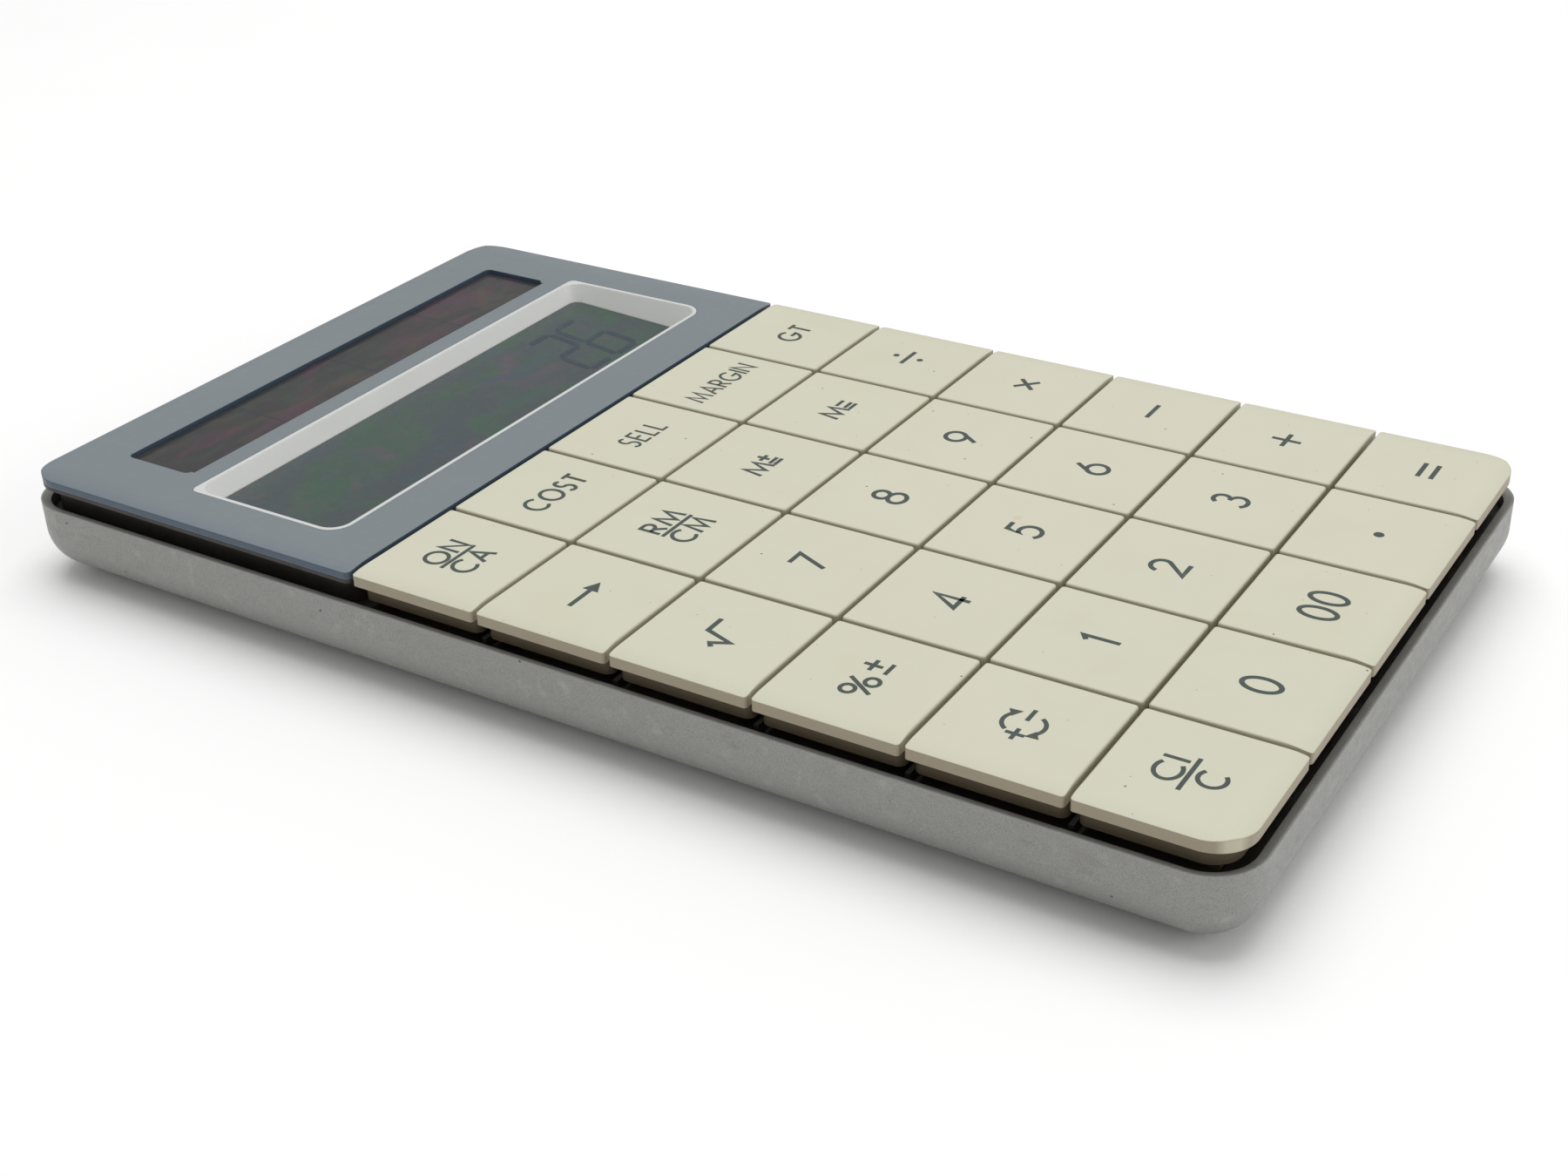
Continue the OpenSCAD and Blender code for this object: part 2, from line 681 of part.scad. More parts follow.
// Upright strip in the slot beside the cell
module battery_contact_side() {
    inner = cell_d / 2 + 0.35;
    color([0.80, 0.74, 0.55]) union() {
        translate([cell_x - 2.4, cell_y - inner - 0.3, floor_z + 0.05]) cube([4.8, 0.3, 3.2]);
        translate([cell_x - 2.4, cell_y - inner - 2.6, floor_z + 0.05]) cube([4.8, 2.6, 0.3]);
    }
}

module battery_cover() {
    body_l = batt_cover_l;
    color(silver_paint) difference() {
        union() {
            translate([hinge_x, cell_y - body_l / 2, foot_h])
                cube([batt_cover_w - batt_cover_t / 2, body_l, batt_cover_t]);
            translate([hinge_x, cell_y, hinge_z]) rotate([90, 0, 0])
                cylinder(d = batt_cover_t, h = body_l, center = true);
            translate([hinge_x, cell_y, hinge_z]) rotate([90, 0, 0])
                cylinder(d = hinge_pin_d, h = body_l + 2.6, center = true);
        }
        translate([cover_screw_x, cell_y, 0]) cylinder(d = 4.8, h = foot_h + 0.7);
        translate([cover_screw_x, cell_y, 0]) cylinder(d = screw_d + 0.04, h = 4);
        // Finger grooves
        for (k = [0:3]) translate([cover_screw_x - 9 + 1.6 * k, cell_y - 6, foot_h - eps])
            cube([0.7, 12, 0.35]);
    }
}

module battery_cover_screw() {
    color(screw_steel) translate([cover_screw_x, cell_y, foot_h + 0.08]) screw(4.4, 0.62, 4.2);
}

// ---- Drawing ------------------------------------------------------------------

lower_case();
key_frame();
display_housing();
display_cover();
lcd_bezel();
lcd_polarizer();
lcd_glass();
lcd_reflector();
lcd_cradle();
lcd_ribbon();
solar_cell();
solar_leads();
main_board();
controller_chip();
capacitors();
keypad_mat();
coin_cell();
battery_contact_top();
battery_contact_side();
battery_leads();
battery_cover();
battery_cover_screw();
case_screws();
housing_screws();
board_screws();
rubber_feet();
for (r = [0:ROWS - 1], c = [0:COLUMNS - 1])
    key(c, r);
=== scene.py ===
"""Looks of the desk calculator: materials, printed key legends, display digits, floor, light and camera."""
import json
import math

import bmesh
import bpy
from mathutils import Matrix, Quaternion, Vector


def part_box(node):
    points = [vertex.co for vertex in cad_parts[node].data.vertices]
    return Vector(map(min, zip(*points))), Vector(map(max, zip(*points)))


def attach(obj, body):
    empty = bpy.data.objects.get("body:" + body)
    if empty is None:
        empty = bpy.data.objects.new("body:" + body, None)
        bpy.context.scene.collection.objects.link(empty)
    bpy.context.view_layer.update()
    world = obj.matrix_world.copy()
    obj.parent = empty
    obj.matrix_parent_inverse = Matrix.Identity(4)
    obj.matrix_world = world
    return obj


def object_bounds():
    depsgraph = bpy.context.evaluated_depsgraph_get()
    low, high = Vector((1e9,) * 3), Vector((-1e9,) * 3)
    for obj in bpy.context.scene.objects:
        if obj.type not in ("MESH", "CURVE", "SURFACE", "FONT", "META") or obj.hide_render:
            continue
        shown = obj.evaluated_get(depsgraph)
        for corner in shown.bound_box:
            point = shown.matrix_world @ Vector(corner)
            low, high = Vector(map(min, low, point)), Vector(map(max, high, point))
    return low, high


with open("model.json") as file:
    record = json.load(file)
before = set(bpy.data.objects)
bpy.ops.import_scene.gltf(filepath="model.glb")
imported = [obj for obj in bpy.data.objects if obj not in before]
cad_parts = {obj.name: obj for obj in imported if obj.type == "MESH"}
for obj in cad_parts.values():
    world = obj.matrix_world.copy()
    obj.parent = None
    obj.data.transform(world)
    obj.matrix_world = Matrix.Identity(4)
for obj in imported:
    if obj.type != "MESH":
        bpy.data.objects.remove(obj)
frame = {"nodes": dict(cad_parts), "record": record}
cad_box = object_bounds()
NODES = frame["nodes"]
MM = 0.001
# Thickness of a key tile, and of the display film
TILE_T = 2.0 * MM
FILM_T = 0.2 * MM
# Most values of a noise texture lie between these
NOISE_LOW, NOISE_HIGH = 0.3, 0.7
# How much a bevel's normal agrees with the surface's own, on a sharp edge and on a flat face
EDGE_TURN = (0.75, 0.98)
# Share of a speck's radius that is fully dark
SPECK_CORE = 0.4
# Distance in from the tray's outside up to which a tile's wall is an outer one and is painted darker as
# painted shade, and where that painted shade has faded out
OUTER_WALL_SHADE = (1.6 * MM, 2.2 * MM)


# ---- Shader building ----------------------------------------------------------

class Shader:
    """A node material around one Principled shader, with sizes given in millimetres."""

    def __init__(self, name, color, roughness=0.5, metallic=0.0, **sockets):
        self.material = bpy.data.materials.new(name)
        self.material.use_nodes = True
        self.tree = self.material.node_tree
        self.bsdf = self.tree.nodes["Principled BSDF"]
        self.bsdf.inputs["Base Color"].default_value = (*color, 1.0)
        self.bsdf.inputs["Roughness"].default_value = roughness
        self.bsdf.inputs["Metallic"].default_value = metallic
        for socket, value in sockets.items():
            self.bsdf.inputs[socket.replace("_", " ")].default_value = value
        self.place = self.add("ShaderNodeTexCoord").outputs["Object"]
        self.normal = None

    def add(self, kind, inputs=None, **settings):
        """Adds a node, with each input set to a value or linked to another node's socket."""
        node = self.tree.nodes.new(kind)
        for key, value in settings.items():
            setattr(node, key, value)
        for key, value in (inputs or {}).items():
            if isinstance(value, bpy.types.NodeSocket):
                self.tree.links.new(value, node.inputs[key])
            else:
                node.inputs[key].default_value = value
        return node

    def stretched(self, x=1.0, y=1.0, z=1.0):
        """The object's coordinates, scaled differently along each axis."""
        return self.add("ShaderNodeVectorMath", {0: self.place, 1: (x, y, z)},
                        operation="MULTIPLY").outputs[0]

    def noise(self, size, detail, distortion=0.0, place=None):
        """Noise texture with features of about a size."""
        inputs = {"Vector": place or self.place, "Scale": 1 / (size * MM), "Detail": detail,
                  "Distortion": distortion}
        return self.add("ShaderNodeTexNoise", inputs).outputs["Fac"]

    def spread(self, value, low, high, to_low=0.0, to_high=1.0):
        """Maps low..high of a value to to_low..to_high, held at the ends."""
        inputs = {"Value": value, "From Min": low, "From Max": high, "To Min": to_low, "To Max": to_high}
        return self.add("ShaderNodeMapRange", inputs).outputs["Result"]

    def math(self, operation, a, b):
        """One step of arithmetic on two values."""
        return self.add("ShaderNodeMath", {0: a, 1: b}, operation=operation).outputs[0]

    def along_sides(self):
        """Flat coordinates for upright walls: round the object one way, and up the other."""
        x, y, z = self.axes()
        return self.add("ShaderNodeCombineXYZ", {0: self.math("SUBTRACT", x, y), 1: z}).outputs[0]

    def axes(self):
        """The object's coordinates along X, Y and Z, each on its own."""
        return self.add("ShaderNodeSeparateXYZ", {0: self.place}).outputs

    def upward(self):
        """How much a face looks up: 1 on top, 0 on an upright wall, -1 underneath."""
        facing = self.add("ShaderNodeNewGeometry").outputs["True Normal"]
        return self.add("ShaderNodeSeparateXYZ", {0: facing}).outputs["Z"]

    def from_middle(self, across, strip, strips_before):
        """Distance from the middle of the strip that a point is in, where strips lie side by side."""
        within = self.math("MODULO", self.math("ADD", across, strips_before * strip), strip)
        return self.math("ABSOLUTE", self.math("SUBTRACT", within, strip / 2), 0.0)

    def specks(self, spacing, size, share, place=None):
        """Mask of small dots on a flat face: one at most in each cell, in a share of the cells."""
        inputs = {"Vector": place or self.place, "Scale": 1 / (spacing * MM)}
        cells = self.add("ShaderNodeTexVoronoi", inputs, voronoi_dimensions="2D")
        radius = size / spacing
        near = self.spread(cells.outputs["Distance"], radius * SPECK_CORE, radius, 1.0, 0.0)
        red = self.add("ShaderNodeSeparateColor", {0: cells.outputs["Color"]}).outputs[0]
        chosen = self.math("LESS_THAN", red, share)
        return self.math("MULTIPLY", near, chosen)

    def edges(self, radius):
        """Mask that is 1 on sharp edges, found by how much a bevel turns the surface."""
        bevel = self.add("ShaderNodeBevel", {"Radius": radius * MM}, samples=4).outputs[0]
        true = self.add("ShaderNodeNewGeometry").outputs["Normal"]
        turn = self.add("ShaderNodeVectorMath", {0: bevel, 1: true}, operation="DOT_PRODUCT")
        return self.spread(turn.outputs["Value"], *EDGE_TURN, 1.0, 0.0)

    def tint(self, mask, color):
        """Mixes a colour over the base colour where the mask is 1."""
        base = self.bsdf.inputs["Base Color"]
        mix = self.add("ShaderNodeMix", {0: mask, 7: (*color, 1.0)}, data_type="RGBA")
        if base.is_linked:
            self.tree.links.new(base.links[0].from_socket, mix.inputs[6])
        else:
            mix.inputs[6].default_value = base.default_value
        self.tree.links.new(mix.outputs[2], base)

    def patches(self, pattern, low, high, amount, color):
        """Tints where a pattern rises from low to high, by up to an amount."""
        self.tint(self.spread(pattern, low, high, 0.0, amount), color)

    def gloss(self, pattern, smooth, rough):
        """Lets the roughness follow a noise pattern between two values."""
        roughness = self.spread(pattern, NOISE_LOW, NOISE_HIGH, smooth, rough)
        self.tree.links.new(roughness, self.bsdf.inputs["Roughness"])

    def round_edges(self, radius):
        """Shades sharp edges as if they had this radius."""
        self.normal = self.add("ShaderNodeBevel", {"Radius": radius * MM}, samples=4).outputs[0]
        self.tree.links.new(self.normal, self.bsdf.inputs["Normal"])

    def bump(self, height, depth, strength):
        """Raises the surface by a depth where the height pattern is 1."""
        inputs = {"Height": height, "Distance": depth * MM, "Strength": strength}
        if self.normal:
            inputs["Normal"] = self.normal
        self.normal = self.add("ShaderNodeBump", inputs).outputs[0]
        self.tree.links.new(self.normal, self.bsdf.inputs["Normal"])


def ivory_plastic():
    """Aged ivory keys with a few specks and stains, painted darker and browner on the sloped bands of their
    tops, down their side walls and on the skirts under the tiles: painted shade.
    """
    s = Shader("ivory_plastic", (0.612, 0.606, 0.482), 0.46, Specular_IOR_Level=0.35)
    s.round_edges(0.18)
    s.patches(s.noise(34, 3, 0.4), 0.38, 0.66, 0.45, (0.592, 0.582, 0.440))
    s.patches(s.noise(9, 5), 0.54, 0.74, 0.30, (0.573, 0.543, 0.396))
    s.patches(s.noise(70, 2), 0.40, 0.62, 0.35, (0.660, 0.636, 0.524))
    upward = s.upward()
    side = s.spread(upward, 0.25, 0.85, 1.0, 0.0)
    # Painted shade: faces that tilt a little from level, such as the rolled-off bands along the tops' edges,
    # are painted darker.
    s.tint(s.spread(upward, 0.975, 0.998, 0.40, 0.0), (0.50, 0.49, 0.375))
    # Painted shade: the tiles' side walls are painted darker and browner than their tops.
    s.tint(s.math("MULTIPLY", side, 0.22), (0.46, 0.39, 0.235))
    # Painted shade: the walls of the outermost tiles that face out of the slab are painted darker still.
    x, y, z = s.axes()
    low, high = cad_box
    near, far = OUTER_WALL_SHADE
    out_x = s.spread(s.math("ABSOLUTE", x, 0.0), high.x - far, high.x - near)
    out_y = s.spread(y, low.y + near, low.y + far, 1.0, 0.0)
    outer_wall_shade = s.math("MULTIPLY", side, s.math("MAXIMUM", out_x, out_y))
    s.tint(s.math("MULTIPLY", outer_wall_shade, 0.72), (0.285, 0.225, 0.155))
    # Painted shade: the skirts below the tiles are the same ivory plastic, painted dark brown below the
    # tiles' undersides.
    tile_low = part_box("key_1")[1].z - TILE_T
    skirt_shade_fade = 0.25 * MM
    s.tint(s.spread(z, tile_low - skirt_shade_fade, tile_low, 0.93, 0.0), (0.090, 0.064, 0.038))
    s.patches(s.edges(0.40), 0.0, 1.0, 0.42, (0.42, 0.37, 0.215))
    s.tint(s.specks(13.0, 0.20, 0.30), (0.10, 0.08, 0.05))
    s.tint(s.specks(7.0, 0.11, 0.30), (0.24, 0.19, 0.12))
    s.tint(s.math("MULTIPLY", s.specks(31.0, 0.9, 0.20), 0.45), (0.62, 0.47, 0.24))
    s.gloss(s.noise(4.5, 5), 0.40, 0.54)
    s.bump(s.noise(0.32, 2), 0.010, 0.5)
    return s.material


def silver_paint():
    """Silver paint with a fine metallic grain, painted lighter along its sharp edges as a painted highlight,
    with dirt and nicks.
    """
    s = Shader("silver_paint", (0.276, 0.279, 0.264), 0.44, 0.40, Specular_IOR_Level=0.5)
    s.round_edges(0.16)
    s.patches(s.noise(26, 4, 0.6), 0.36, 0.68, 0.45, (0.253, 0.250, 0.230))
    s.patches(s.noise(0.16, 1), 0.40, 0.70, 0.42, (0.41, 0.41, 0.395))
    s.patches(s.noise(0.21, 1), 0.56, 0.70, 0.38, (0.15, 0.15, 0.142))
    s.patches(s.noise(2.6, 4), 0.60, 0.74, 0.35, (0.44, 0.43, 0.38))
    s.patches(s.noise(3.4, 5, 0.5, s.stretched(0.5, 0.5, 1.6)), 0.63, 0.74, 0.38, (0.205, 0.180, 0.130))
    # Painted highlight: sharp edges are painted lighter.
    s.patches(s.edges(0.22), 0.0, 1.0, 0.40, (0.60, 0.60, 0.58))
    upward = s.upward()
    upright = s.spread(s.math("ABSOLUTE", upward, 0.0), 0.80, 0.92, 1.0, 0.0)
    underneath = s.spread(upward, -0.92, -0.80, 1.0, 0.0)
    for spacing, size, share, dirt in ((12.0, 0.24, 0.40, (0.04, 0.036, 0.03)),
                                       (5.0, 0.11, 0.30, (0.08, 0.07, 0.06))):
        s.tint(s.math("MULTIPLY", upright, s.specks(spacing, size, share, s.along_sides())), dirt)
        s.tint(s.math("MULTIPLY", underneath, s.specks(spacing, size, share)), dirt)
    s.gloss(s.noise(1.4, 5), 0.38, 0.54)
    s.bump(s.noise(0.18, 2), 0.012, 0.6)
    return s.material


def blue_grey_cover():
    """Satin blue-grey face, painted a lighter grey on its flat top as a painted sheen and deep blue where it
    rolls over into the edges as painted shade.
    """
    # Painted sheen: the grey base colour is lighter than the plate's own blue-grey and stands in for the
    # satin sheen on its flat top.
    s = Shader("blue_grey_cover", (0.188, 0.218, 0.235), 0.36, Specular_IOR_Level=0.45)
    s.round_edges(0.30)
    s.patches(s.noise(30, 4, 0.5), 0.36, 0.66, 0.35, (0.163, 0.192, 0.213))
    s.patches(s.noise(1.1, 4), 0.56, 0.74, 0.20, (0.240, 0.268, 0.280))
    s.tint(s.specks(9.0, 0.08, 0.22), (0.36, 0.38, 0.39))
    upward = s.upward()
    # Painted shade: faces that tilt a little from level, along the roll-over into the edges, are painted a
    # darker blue.
    s.tint(s.spread(upward, 0.965, 0.998, 0.55, 0.0), (0.090, 0.128, 0.180))
    # Painted shade: the faces that roll over into the edges are painted deep blue.
    s.tint(s.spread(upward, 0.55, 0.93, 1.0, 0.0), (0.058, 0.090, 0.132))
    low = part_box("display_cover")[0].z
    line_low, line_high = low + 0.10 * MM, low + 0.35 * MM
    s.tint(s.spread(s.axes()["Z"], line_low, line_high, 0.12, 0.0), (0.30, 0.34, 0.36))
    s.gloss(s.noise(3.2, 5), 0.30, 0.44)
    s.bump(s.noise(0.9, 3), 0.006, 0.5)
    return s.material


def white_bezel():
    """White well with a few specks, painted greyer on the faces that look up than on its walls: painted
    shade.
    """
    s = Shader("white_bezel", (0.77, 0.775, 0.75), 0.36, Specular_IOR_Level=0.40)
    s.round_edges(0.25)
    s.patches(s.noise(9, 4), 0.42, 0.70, 0.30, (0.70, 0.70, 0.665))
    upward = s.upward()
    # Painted shade: faces that look up, such as the rim, are painted greyer than the walls.
    s.tint(s.spread(upward, 0.90, 0.99, 0.0, 0.45), (0.46, 0.48, 0.49))
    s.tint(s.specks(9.0, 0.09, 0.20), (0.36, 0.34, 0.30))
    s.gloss(s.noise(2.0, 4), 0.28, 0.40)
    return s.material


def display_film():
    """Dark display film with the green and violet patches of an old polariser."""
    s = Shader("display_film", (0.058, 0.074, 0.077), 0.30, Specular_IOR_Level=0.32)
    place = s.stretched(1.0, 1.7, 1.0)
    s.patches(s.noise(16, 2, 1.2, place), 0.44, 0.66, 0.80, (0.044, 0.094, 0.062))
    s.patches(s.noise(12, 2, 0.9, place), 0.54, 0.70, 0.65, (0.098, 0.074, 0.094))
    s.patches(s.noise(13, 2, 1.5, place), 0.54, 0.72, 0.60, (0.048, 0.074, 0.112))
    s.patches(s.noise(1.3, 5), 0.45, 0.75, 0.18, (0.11, 0.12, 0.11))
    s.gloss(s.noise(2.4, 5), 0.24, 0.38)
    return s.material


def display_digits():
    """Dim blue-black of weakly driven segments."""
    s = Shader("display_digits", (0.034, 0.048, 0.068), 0.34, Specular_IOR_Level=0.32)
    s.patches(s.noise(3.0, 4, 0.8), 0.44, 0.70, 0.6, (0.050, 0.072, 0.078))
    s.gloss(s.noise(1.0, 3), 0.30, 0.40)
    return s.material


def solar_glass():
    """Dark cells behind glass, with the thin lines between one cell and the next."""
    s = Shader("solar_glass", (0.032, 0.032, 0.034), 0.24, Specular_IOR_Level=0.32)
    place = s.stretched(1.0, 2.6, 1.0)
    s.patches(s.noise(12, 4, 1.0, place), 0.50, 0.64, 0.75, (0.068, 0.032, 0.049))
    s.patches(s.noise(10, 4, 1.3, place), 0.50, 0.66, 0.70, (0.033, 0.050, 0.037))
    s.patches(s.noise(16, 3, 0.7, place), 0.54, 0.70, 0.60, (0.074, 0.055, 0.037))
    across = s.axes()["X"]
    low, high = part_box("solar_cell")
    cell_count = 4
    cell = (high.x - low.x) / cell_count
    line_near, line_far = 0.20 * MM, 0.35 * MM
    line = s.spread(s.from_middle(across, cell, 10), cell / 2 - line_far, cell / 2 - line_near)
    s.tint(s.math("MULTIPLY", line, 0.55), (0.016, 0.022, 0.050))
    s.gloss(s.noise(2.2, 5), 0.16, 0.30)
    return s.material


def legend_ink():
    """Dark grey-green printing ink, a little worn."""
    s = Shader("legend_ink", (0.052, 0.070, 0.063), 0.48, Specular_IOR_Level=0.4)
    s.patches(s.noise(0.35, 3), 0.52, 0.74, 0.40, (0.10, 0.122, 0.110))
    s.patches(s.noise(2.2, 3), 0.60, 0.80, 0.45, (0.15, 0.172, 0.152))
    s.gloss(s.noise(0.8, 3), 0.42, 0.56)
    return s.material


def moulded_plastic(name, color, worn, grain=0.25, roughness=(0.42, 0.58)):
    """Plain plastic, rubber or resin with a fine grain and patches of a worn colour."""
    s = Shader(name, color, 0.5)
    s.round_edges(0.15)
    s.patches(s.noise(8, 4), 0.42, 0.72, 0.4, worn)
    s.gloss(s.noise(1.5, 4), *roughness)
    s.bump(s.noise(grain, 2), 0.012, 0.6)
    return s.material


def clear_glass():
    """Greenish glass of the display, slightly smeared."""
    s = Shader("clear_glass", (0.55, 0.60, 0.56), 0.10, Transmission_Weight=0.7, IOR=1.5)
    s.patches(s.noise(6, 3), 0.45, 0.7, 0.3, (0.45, 0.52, 0.47))
    s.gloss(s.noise(2.5, 4), 0.06, 0.16)
    return s.material


def metal(name, color, tarnish, roughness=(0.24, 0.42), place_scale=(1.0, 12.0, 1.0)):
    """Brushed metal: fine streaks along one way, and a little tarnish."""
    s = Shader(name, color, 0.3, 1.0)
    s.round_edges(0.10)
    streaks = s.noise(1.2, 4, 0.0, s.stretched(*place_scale))
    s.patches(s.noise(3.0, 4), 0.50, 0.74, 0.5, tarnish)
    s.gloss(streaks, *roughness)
    s.bump(streaks, 0.004, 0.4)
    return s.material


def circuit_board():
    """Green solder mask with lighter copper tracks under it and a few bright pads."""
    s = Shader("circuit_board", (0.012, 0.085, 0.035), 0.38, Specular_IOR_Level=0.5)
    cells = s.add("ShaderNodeTexVoronoi", {"Vector": s.place, "Scale": 1 / (7.5 * MM)},
                  feature="DISTANCE_TO_EDGE").outputs["Distance"]
    track = (0.035, 0.055)
    s.tint(s.spread(cells, *track, 0.8, 0.0), (0.030, 0.170, 0.070))
    s.tint(s.specks(5.0, 0.55, 0.25), (0.50, 0.46, 0.34))
    s.gloss(s.noise(1.6, 4), 0.32, 0.48)
    s.bump(s.spread(cells, *track, 1.0, 0.0), 0.03, 0.5)
    return s.material


def silicone():
    """Soft grey rubber that lets a little light in."""
    s = Shader("silicone", (0.34, 0.34, 0.32), 0.60, Subsurface_Weight=0.2, Subsurface_Scale=0.002)
    s.patches(s.noise(12, 4), 0.42, 0.7, 0.5, (0.28, 0.28, 0.26))
    s.gloss(s.noise(1.0, 4), 0.52, 0.68)
    s.bump(s.noise(0.4, 3), 0.015, 0.5)
    return s.material


def ribbon_film():
    """Amber film with fine dark conductors running from the glass to the board."""
    s = Shader("ribbon_film", (0.50, 0.26, 0.05), 0.34)
    across = s.axes()["X"]
    pitch = 1.0 * MM
    conductor, clear = 0.18 * MM, 0.24 * MM
    s.tint(s.spread(s.from_middle(across, pitch, 100), conductor, clear, 0.85, 0.0), (0.03, 0.022, 0.018))
    s.gloss(s.noise(2.0, 3), 0.28, 0.42)
    return s.material


def paint_nodes():
    """Gives every CAD node its finished material, by its record slot."""
    dark = (0.030, 0.029, 0.027)
    steel = (0.42, 0.41, 0.39)
    finishes = {
        "silver_case": silver_paint(),
        "ivory_plastic": ivory_plastic(),
        "blue_grey_cover": blue_grey_cover(),
        "white_bezel": white_bezel(),
        "lcd_film": display_film(),
        "solar_cell": solar_glass(),
        "lcd_glass": clear_glass(),
        "black_plastic": moulded_plastic("black_plastic", (0.022, 0.020, 0.017), (0.045, 0.040, 0.032)),
        "foot_rubber": moulded_plastic("foot_rubber", (0.022, 0.022, 0.022), (0.05, 0.048, 0.044), 0.4,
                                       (0.62, 0.80)),
        "red_wire": moulded_plastic("red_wire", (0.42, 0.022, 0.016), (0.30, 0.02, 0.015), 0.3,
                                    (0.32, 0.45)),
        "black_wire": moulded_plastic("black_wire", (0.018, 0.018, 0.020), dark, 0.3, (0.32, 0.45)),
        "chip_resin": moulded_plastic("chip_resin", (0.012, 0.012, 0.012), dark, 1.2, (0.20, 0.34)),
        "capacitor_sleeve": moulded_plastic("capacitor_sleeve", (0.02, 0.03, 0.15), (0.03, 0.04, 0.18),
                                            0.6, (0.26, 0.38)),
        "lcd_backing": metal("lcd_backing", (0.62, 0.64, 0.62), (0.50, 0.52, 0.50), (0.40, 0.55)),
        "cell_steel": metal("cell_steel", (0.60, 0.60, 0.58), (0.42, 0.41, 0.38)),
        "spring_contact": metal("spring_contact", (0.66, 0.60, 0.46), (0.45, 0.38, 0.26)),
        "screw_steel": metal("screw_steel", (0.55, 0.55, 0.53), steel, (0.30, 0.48), (1.0, 1.0, 1.0)),
        "circuit_board": circuit_board(),
        "silicone_mat": silicone(),
        "ribbon_film": ribbon_film(),
    }
    for part in frame["record"]["subparts"]:
        mesh = NODES[part["node"]].data
        mesh.materials.clear()
        mesh.materials.append(finishes[part["material_slot"]])


# ---- Printed legends ----------------------------------------------------------
# Each sign is drawn with strokes. A letter's or digit's height is 1 and its left edge is at 0.

def arc(x, y, rx, ry, start, end, steps=18):
    """Points on an ellipse's arc, from one angle to another in degrees."""
    turn = [math.radians(start + (end - start) * k / steps) for k in range(steps + 1)]
    return [(x + rx * math.cos(a), y + ry * math.sin(a)) for a in turn]


GLYPHS = {
    "0": [arc(0.31, 0.5, 0.31, 0.5, 90, 450, 36)],
    "1": [[(0.0, 0.86), (0.17, 1.0), (0.17, 0.0)]],
    "2": [arc(0.29, 0.71, 0.29, 0.29, 172, -28, 20) + [(0.0, 0.0), (0.62, 0.0)]],
    "3": [arc(0.27, 0.76, 0.24, 0.24, 155, -75, 20), arc(0.27, 0.27, 0.29, 0.27, 88, -152, 22)],
    "4": [[(0.48, 0.0), (0.48, 1.0), (0.0, 0.25), (0.66, 0.25)]],
    "5": [[(0.58, 1.0), (0.19, 1.0), (0.09, 0.57)] + arc(0.27, 0.33, 0.32, 0.33, 118, -142, 22)],
    "6": [arc(0.32, 0.32, 0.32, 0.32, 0, 360, 30), [(0.07, 0.49), (0.45, 1.0)]],
    "7": [[(0.0, 1.0), (0.60, 1.0), (0.15, 0.0)]],
    "8": [arc(0.30, 0.765, 0.235, 0.235, 90, 450, 26), arc(0.30, 0.265, 0.30, 0.265, 90, 450, 30)],
    "9": [arc(0.31, 0.69, 0.31, 0.31, 0, 360, 30), [(0.55, 0.52), (0.19, 0.0)]],
    "A": [[(0.0, 0.0), (0.39, 1.0), (0.78, 0.0)], [(0.13, 0.33), (0.65, 0.33)]],
    "C": [arc(0.5, 0.5, 0.5, 0.5, 47, 313, 28)],
    "E": [[(0.48, 1.0), (0.0, 1.0), (0.0, 0.0), (0.48, 0.0)], [(0.0, 0.52), (0.44, 0.52)]],
    "G": [arc(0.5, 0.5, 0.5, 0.5, 50, 355, 30) + [(1.0, 0.46), (0.58, 0.46)]],
    "I": [[(0.0, 0.0), (0.0, 1.0)]],
    "L": [[(0.0, 1.0), (0.0, 0.0), (0.44, 0.0)]],
    "M": [[(0.0, 0.0), (0.15, 1.0), (0.52, 0.10), (0.89, 1.0), (1.04, 0.0)]],
    "N": [[(0.0, 0.0), (0.0, 1.0), (0.72, 0.0), (0.72, 1.0)]],
    "O": [arc(0.5, 0.5, 0.5, 0.5, 90, 450, 36)],
    "R": [[(0.0, 0.0), (0.0, 1.0)] + arc(0.24, 0.735, 0.265, 0.265, 90, -90, 14) + [(0.0, 0.47)],
          [(0.22, 0.47), (0.54, 0.0)]],
    "S": [arc(0.26, 0.75, 0.22, 0.25, 42, 262, 18)[:-1] + arc(0.24, 0.25, 0.25, 0.25, 72, -148, 18)],
    "T": [[(0.0, 1.0), (0.62, 1.0)], [(0.31, 1.0), (0.31, 0.0)]],
}
LETTER_GAP = 0.30


def word(text, height, width, x=0.0, y=0.0):
    """Strokes of a word centred on x, y in millimetres, fitted to a width."""
    strokes, pen = [], 0.0
    for letter in text:
        strokes += [[(px + pen, py) for px, py in stroke] for stroke in GLYPHS[letter]]
        pen += max(px for stroke in GLYPHS[letter] for px, _ in stroke) + LETTER_GAP
    natural = pen - LETTER_GAP
    stretch = width / natural
    return [[(x + (px - natural / 2) * stretch, y + (py - 0.5) * height) for px, py in stroke]
            for stroke in strokes]


def bar(width, x=0.0, y=0.0):
    """One level stroke."""
    return [[(x - width / 2, y), (x + width / 2, y)]]


def cross(width, x=0.0, y=0.0):
    """A plus sign."""
    return bar(width, x, y) + [[(x, y - width / 2), (x, y + width / 2)]]


def fraction(top, top_width, below, below_width):
    """Two short words, one over the other, with a line between them."""
    return word(top, 3.3, top_width, 0, 2.75) + bar(7.3, 0, 0.42) + word(below, 3.4, below_width, 0, -2.05)


